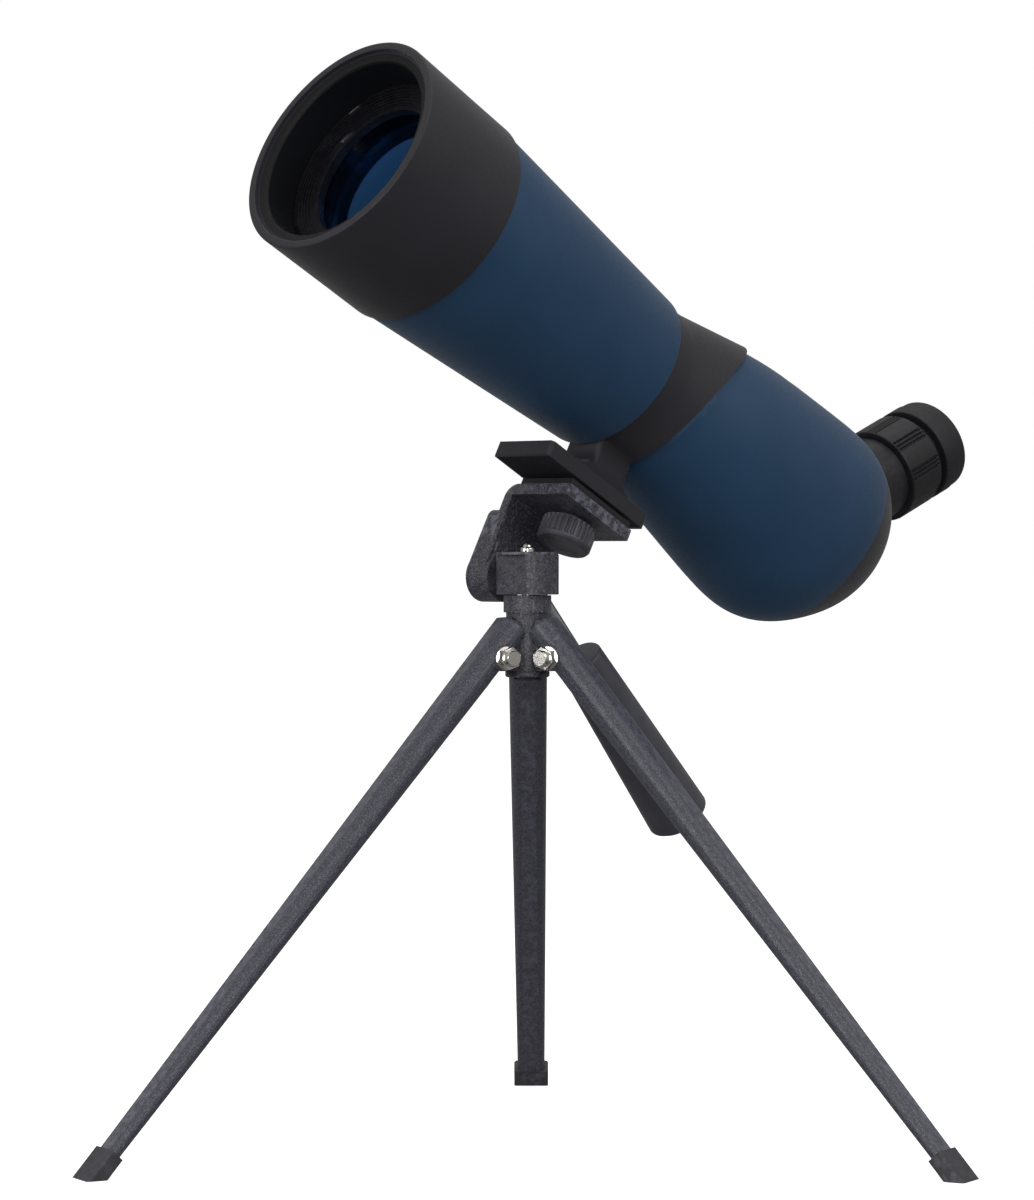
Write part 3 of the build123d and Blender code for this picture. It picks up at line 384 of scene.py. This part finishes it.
def lathe(outline, place, count=160, relief=None):
    """A closed outline in millimetres turned about Z.

    relief(angle, radius, height) moves a point in or out.
    """
    work = bmesh.new()
    loops = []
    for i in range(count):
        angle = 2 * math.pi * i / count
        loop = []
        for radius, height in outline:
            if relief:
                radius += relief(angle, radius, height)
            point = Vector((radius * math.cos(angle), radius * math.sin(angle), height)) * MM
            loop.append(work.verts.new(place @ point))
        loops.append(loop)
    size = len(outline)
    for i in range(count):
        here, there = loops[i], loops[(i + 1) % count]
        for k in range(size):
            n = (k + 1) % size
            work.faces.new((here[k], there[k], there[n], here[n]))
    bmesh.ops.remove_doubles(work, verts=work.verts, dist=1e-7)
    bmesh.ops.dissolve_degenerate(work, edges=work.edges, dist=1e-7)
    bmesh.ops.recalc_face_normals(work, faces=work.faces)
    mesh = bpy.data.meshes.new("turned")
    work.to_mesh(mesh)
    work.free()
    return mesh


# ---------------------------------------------------------------- the scene round the object
CAMERA_AZIMUTH = math.radians(45.76)
CAMERA_DISTANCE = 1.4947
CAMERA_SIDE = -3.65 * MM
CAMERA_HEIGHT = 0.2096
CAMERA_DOWN = math.radians(0.7)
CAMERA_LENS = 127.8
SKY_LOW = 0.16
SKY_HIGH = 0.46


def add_camera():
    camera = bpy.data.objects.new("camera", bpy.data.cameras.new("camera"))
    bpy.context.scene.collection.objects.link(camera)
    camera.data.lens = CAMERA_LENS
    camera.data.sensor_width = 36
    camera.data.clip_start = 0.01
    back = Vector((math.sin(CAMERA_AZIMUTH), -math.cos(CAMERA_AZIMUTH), 0))
    right = Vector((math.cos(CAMERA_AZIMUTH), math.sin(CAMERA_AZIMUTH), 0))
    foot = Vector((pan_axis.x, pan_axis.y, CAMERA_HEIGHT))
    camera.location = foot + back * CAMERA_DISTANCE + right * CAMERA_SIDE
    look = -back * math.cos(CAMERA_DOWN) - Vector((0, 0, math.sin(CAMERA_DOWN)))
    camera.rotation_mode = "QUATERNION"
    camera.rotation_quaternion = look.to_track_quat("-Z", "Y")
    bpy.context.scene.camera = camera
    return back, right


def add_softbox(name, place, target, size, power):
    light = bpy.data.objects.new(name, bpy.data.lights.new(name, "AREA"))
    bpy.context.scene.collection.objects.link(light)
    light.data.shape = "RECTANGLE"
    light.data.size, light.data.size_y = size
    light.data.energy = power
    light.location = place
    light.rotation_mode = "QUATERNION"
    light.rotation_quaternion = (Vector(target) - Vector(place)).to_track_quat("-Z", "Y")


def add_studio(back, right):
    scene = bpy.context.scene
    scene.view_settings.view_transform = "Standard"
    world = bpy.data.worlds.new("studio")
    world.use_nodes = True
    scene.world = world
    tree = world.node_tree
    background = tree.nodes["Background"]
    background.inputs["Color"].default_value = (1, 1, 1, 1)
    heading = tree.nodes.new("ShaderNodeTexCoord")
    split = tree.nodes.new("ShaderNodeSeparateXYZ")
    tree.links.new(heading.outputs["Generated"], split.inputs["Vector"])
    sky = tree.nodes.new("ShaderNodeMapRange")
    for socket, value in (("From Min", -0.6), ("From Max", 0.8), ("To Min", SKY_LOW), ("To Max", SKY_HIGH)):
        sky.inputs[socket].default_value = value
    tree.links.new(split.outputs["Z"], sky.inputs["Value"])
    light_path = tree.nodes.new("ShaderNodeLightPath")
    seen = tree.nodes.new("ShaderNodeMix")
    seen.inputs["B"].default_value = 1.0
    tree.links.new(light_path.outputs["Is Camera Ray"], seen.inputs["Factor"])
    tree.links.new(sky.outputs["Result"], seen.inputs["A"])
    tree.links.new(seen.outputs["Result"], background.inputs["Strength"])

    floor_mesh = bpy.data.meshes.new("floor")
    work = bmesh.new()
    bmesh.ops.create_circle(work, cap_ends=True, segments=96, radius=30)
    work.to_mesh(floor_mesh)
    work.free()
    floor = bpy.data.objects.new("floor", floor_mesh)
    scene.collection.objects.link(floor)
    t = Tree("pale_floor").set(Emission_Color=(1, 1, 1, 1), Emission_Strength=0.75)
    shade = t.mix(t.between(t.noise(0.4, 2.0), 0.0, 1.0), (0.80, 0.80, 0.80), (0.84, 0.84, 0.84))
    floor_mesh.materials.append(t.finish(shade, t.between(t.noise(0.05, 2.0), 0.75, 0.85)))
    floor.visible_diffuse = False
    floor.visible_glossy = False

    centre = (cad_low + cad_high) / 2
    up = Vector((0, 0, 1))
    add_softbox("key", centre + back * 1.1 + right * 1.5 + up * 1.3, centre, (1.3, 1.3), 12)
    add_softbox("fill", centre + back * 1.4 - right * 1.6 + up * 0.5, centre, (1.0, 1.0), 13)
    add_softbox("top", centre + up * 1.9 - back * 0.3, centre, (1.6, 1.6), 7)
    add_softbox("front", centre + back * 1.9 + up * 0.1, centre, (0.35, 0.9), 9)


back, right = add_camera()
add_studio(back, right)

# ---------------------------------------------------------------- front of the telescope, millimetres
HOOD_LONG = 48.2
HOOD_BORE_R = 37.0
LIP_R = 37.8              # the mouth's wider bore in the front lip
LIP_DEEP = 1.6
LINER_R = 34.0
LINER_END = 27.5
BARREL_END = 149.0
SPIGOT_R = 27.4           # goes on into the collar
SPIGOT_BORE_R = 25.2
SPIGOT_END = 162.0
BARREL_BORE_END = 146.4   # where the barrel's bore steps in to the spigot's


def add_dew_hood():
    outline = soft([
        (HOOD_BORE_R, LIP_DEEP),
        (LIP_R, LIP_DEEP),
        (LIP_R, 0.0, 0.35),
        (40.8, 0.0, 0.75),
        (40.55, 16.0),
        (40.3, 32.0),
        (40.1, HOOD_LONG, 0.55),
        (HOOD_BORE_R, HOOD_LONG),
    ], 6)
    add_piece("hood_sleeve", lathe(outline, optics, 192), "dew_hood", BLACK)


def add_hood_liner():
    outline = soft([
        (HOOD_BORE_R, LIP_DEEP),
        (34.5, 2.1, 0.5),
        (LINER_R, 3.0, 0.4),
        (LINER_R, LINER_END),
        (HOOD_BORE_R, LINER_END),
    ], 4)
    add_piece("mouth_liner", lathe(outline, optics, 160), "hood_liner", FLOCKED)


def add_barrel():
    inner = HOOD_LONG + 4
    outline = soft([
        (HOOD_BORE_R, LINER_END),
        (HOOD_BORE_R, HOOD_LONG),
        (39.3, HOOD_LONG, 0.3),
        (37.36, 73.4),
        (35.38, 98.6),
        (33.4, 123.8),
        (31.4, BARREL_END, 0.6),
        (SPIGOT_R, BARREL_END),
        (SPIGOT_R, SPIGOT_END),
        (SPIGOT_BORE_R, SPIGOT_END),
        (SPIGOT_BORE_R, BARREL_BORE_END),
        (29.2, BARREL_BORE_END),
        (36.6, inner),
        (LINER_R, HOOD_LONG + 2),
        (LINER_R, LINER_END),
    ], 5)
    add_piece("barrel_shell", lathe(outline, optics, 192), "front_barrel", BLUE)


# ---------------------------------------------------------------- eyepiece, millimetres
ZOOM_R = 18.25
ZOOM_LONG = 17.7
PANELS = 9
PANEL_TURN = 2 * math.pi / PANELS
GAP_HALF = math.radians(6.6)       # half the channel between two panels
RIB_AT = math.radians(2.5)         # a rib's middle, from the channel's middle
RIB_HALF = math.radians(1.25)
CHANNEL_DEEP = 1.0
RIB_TALL = 0.82
RING_BORE_R = 14.9
RING_END_R = 17.6                 # where the ring's ends have been rounded in
PANEL_FLATTEN = 0.693             # lifts a panel's edges a little, so its face is flatter than the ring
STEPS_PER_PANEL = 88
CUP_START = 21.3
CUP_END = 33.8
CUP_STEP = 28.6                   # the rubber's fine step line
CUP_SEAT_R = 14.6
CUP_REST_R = 15.4                 # the recess that the eye looks into


def smooth_step(value, low, high):
    share = max(0.0, min(1.0, (value - low) / (high - low)))
    return share * share * (3 - 2 * share)


def zoom_relief(angle, radius, height):
    """Nine raised panels, with two thin ribs in each channel between them."""
    if radius < ZOOM_R - 2.0:
        return 0.0
    from_gap = abs((angle + PANEL_TURN / 2) % PANEL_TURN - PANEL_TURN / 2)
    channel = 1 - smooth_step(from_gap, GAP_HALF - 0.016, GAP_HALF + 0.016)
    rib = 1 - smooth_step(abs(from_gap - RIB_AT), RIB_HALF - 0.014, RIB_HALF + 0.014)
    ends = smooth_step(height, 0.5, 1.2) * (1 - smooth_step(height, ZOOM_LONG - 1.3, ZOOM_LONG - 0.6))
    flatter = PANEL_FLATTEN * (1 - math.cos(from_gap - PANEL_TURN / 2))
    return ends * (rib * RIB_TALL * channel - CHANNEL_DEEP * channel) + flatter * (1 - channel)


def add_zoom_ring():
    steps = [Vector((ZOOM_R, z)) for z in (1.0, 1.3, 1.8, 5.0, 9.0, 13.0, 15.9, 16.4, 16.7)]
    outline = [Vector((RING_BORE_R, 0)), Vector((RING_END_R, 0))]
    outline += [Vector((18.05, 0.25)), Vector((ZOOM_R, 0.6))]
    outline += steps
    outline += [Vector((ZOOM_R, 17.1)), Vector((18.05, 17.5))]
    outline += [Vector((RING_END_R, ZOOM_LONG)), Vector((RING_BORE_R, ZOOM_LONG))]
    mesh = lathe(outline, eyepiece, PANELS * STEPS_PER_PANEL, zoom_relief)
    add_piece("zoom_grip", mesh, "zoom_ring", RIBBED)


def add_eyecup():
    outline = soft([
        (CUP_SEAT_R, CUP_START),
        (ZOOM_R, CUP_START, 0.6),
        (ZOOM_R, CUP_STEP, 0.15),
        (17.85, CUP_STEP + 0.35, 0.15),
        (17.85, CUP_END, 1.3),
        (CUP_REST_R, CUP_END, 1.0),
        (CUP_REST_R, 29.6, 0.3),
        (14.9, 29.2, 0.2),
        (14.9, 28.5),
        (CUP_SEAT_R, 28.2),
    ], 5)
    add_piece("eyecup_rubber", lathe(outline, eyepiece, 144), "eyecup", SOFT)


# ---------------------------------------------------------------- camera screw, millimetres
KNOB_R = 10.0
KNOB_TALL = 8.6
KNOB_RIDGES = 28
KNOB_RIDGE_DEEP = 0.75
KNOB_RIM_LOW = 1.9        # the ridges start above the lower rim
COLLAR_R = 6.5
COLLAR_TOP = 10.3
SCREW_HOLE_R = 3.2
SCREW_HOLE_FOOT = 4.3


def knob_relief(angle, radius, height):
    """Straight ridges with round tops, that run out below the knob's two rims."""
    if radius < KNOB_R - 1.2 or not 0.8 < height < KNOB_TALL:
        return 0.0
    wave = abs(math.cos(angle * KNOB_RIDGES / 2))
    low_end = smooth_step(height, KNOB_RIM_LOW, KNOB_RIM_LOW + 0.6)
    high_end = 1 - smooth_step(height, KNOB_TALL - 0.9, KNOB_TALL - 0.3)
    return -KNOB_RIDGE_DEEP * (1 - smooth_step(wave, 0.50, 0.90)) * low_end * high_end


def add_knob():
    outline = soft([
        (0.0, 0.9),
        (4.8, 0.75),
        (6.1, 0.55, 0.3),
        (COLLAR_R, 0.0, 0.4),
        (9.2, 0.0, 0.9),
        (KNOB_R, 1.2, 0.5),
        (KNOB_R, KNOB_RIM_LOW),
        (KNOB_R, KNOB_RIM_LOW + 0.3),
        (KNOB_R, KNOB_RIM_LOW + 0.6),
        (KNOB_R, 5.0),
        (KNOB_R, KNOB_TALL - 0.9),
        (KNOB_R, KNOB_TALL - 0.6),
        (KNOB_R, KNOB_TALL - 0.3),
        (9.4, KNOB_TALL, 0.2),
        (COLLAR_R, KNOB_TALL, 0.3),
        (COLLAR_R, COLLAR_TOP, 0.3),
        (SCREW_HOLE_R, COLLAR_TOP),
        (SCREW_HOLE_R, SCREW_HOLE_FOOT),
        (0.0, SCREW_HOLE_FOOT),
    ], 4)
    add_piece("camera_knob", lathe(outline, knob_place, KNOB_RIDGES * 14, knob_relief), "mount_knob", KNOB)


# ---------------------------------------------------------------- shoe pad, millimetres
PAD_HALF = 13.1
PAD_ENDS = (125.6, 177.0)         # stations behind the front rim
PAD_FACE = 49.6                   # below the optical axis
PAD_T = 1.0
RIB_DEEP = 0.55
RIB_PITCH = 0.95
STEPS_PER_RIB = 6


def ribbed_sheet():
    """A pad whose underside has round ribs that run along the telescope."""
    count = int(2 * PAD_HALF / RIB_PITCH)
    work = bmesh.new()
    rows = []
    for station in PAD_ENDS:
        row = []
        for i in range(count * STEPS_PER_RIB + 1):
            x = -PAD_HALF + 2 * PAD_HALF * i / (count * STEPS_PER_RIB)
            rib = abs(math.sin(math.pi * i / STEPS_PER_RIB)) ** 0.6
            row.append(Vector((x, PAD_FACE - RIB_DEEP * (1 - rib), station)))
        row.append(Vector((PAD_HALF, PAD_FACE - PAD_T, station)))
        row.append(Vector((-PAD_HALF, PAD_FACE - PAD_T, station)))
        rows.append([work.verts.new(optics @ (point * MM)) for point in row])
    size = len(rows[0])
    for near, far in zip(rows, rows[1:]):
        for k in range(size):
            n = (k + 1) % size
            work.faces.new((near[k], far[k], far[n], near[n]))
    work.faces.new(rows[0])
    work.faces.new(rows[-1])
    bmesh.ops.recalc_face_normals(work, faces=work.faces)
    mesh = bpy.data.meshes.new("ribbed")
    work.to_mesh(mesh)
    work.free()
    return mesh


def add_shoe_pad():
    add_piece("shoe_ribs", ribbed_sheet(), "shoe_pad", SOFT)


# ---------------------------------------------------------------- handle, millimetres
ROD_R = 2.5
GRIP_START = 38.2
GRIP_END = 117.8


def add_handle():
    place = at_joint("handle_turn")
    start, end = GRIP_START, GRIP_END
    outline = soft([
        (ROD_R, start),
        (8.5, start, 1.0),
        (9.3, start + 20),
        (10.1, start + 40),
        (10.9, start + 60),
        (11.6, end - 2.0, 0.8),
        (9.4, end, 1.2),
        (7.2, end, 0.3),
        (6.8, end - 0.4, 0.3),
        (0.0, end - 0.2),
        (0.0, start + 40),
        (ROD_R, start + 40),
    ], 5)
    add_piece("handle_moulding", lathe(outline, place, 128), "handle_grip", SMOOTH)


# ---------------------------------------------------------------- put together
add_dew_hood()
add_hood_liner()
add_barrel()
add_zoom_ring()
add_eyecup()
add_knob()
add_shoe_pad()
add_handle()
for name in ("hub", "pan_block", "tilt_bracket"):
    cleaned(name, name + "_casting", bevel=CASTING_EASE)
for name in ("rear_housing", "rear_cover", "collar", "objective_cell", "objective_retainer"):
    cleaned(name, name + "_shell")
for leg in ("left", "right", "rear"):
    cleaned("leg_tube_" + leg, "leg_pressing_" + leg)
    cleaned("leg_boot_" + leg, "leg_foot_" + leg, bevel=BOOT_EASE)
    for part in ("bolt", "washers", "nut"):
        cleaned(f"leg_{part}_{leg}", f"pivot_{part}_{leg}")
for name in ("pan_bolt", "pan_disc", "eyepiece_tube", "eyepiece_head", "platform_pad", "focus_knob"):
    cleaned(name, name + "_detail")
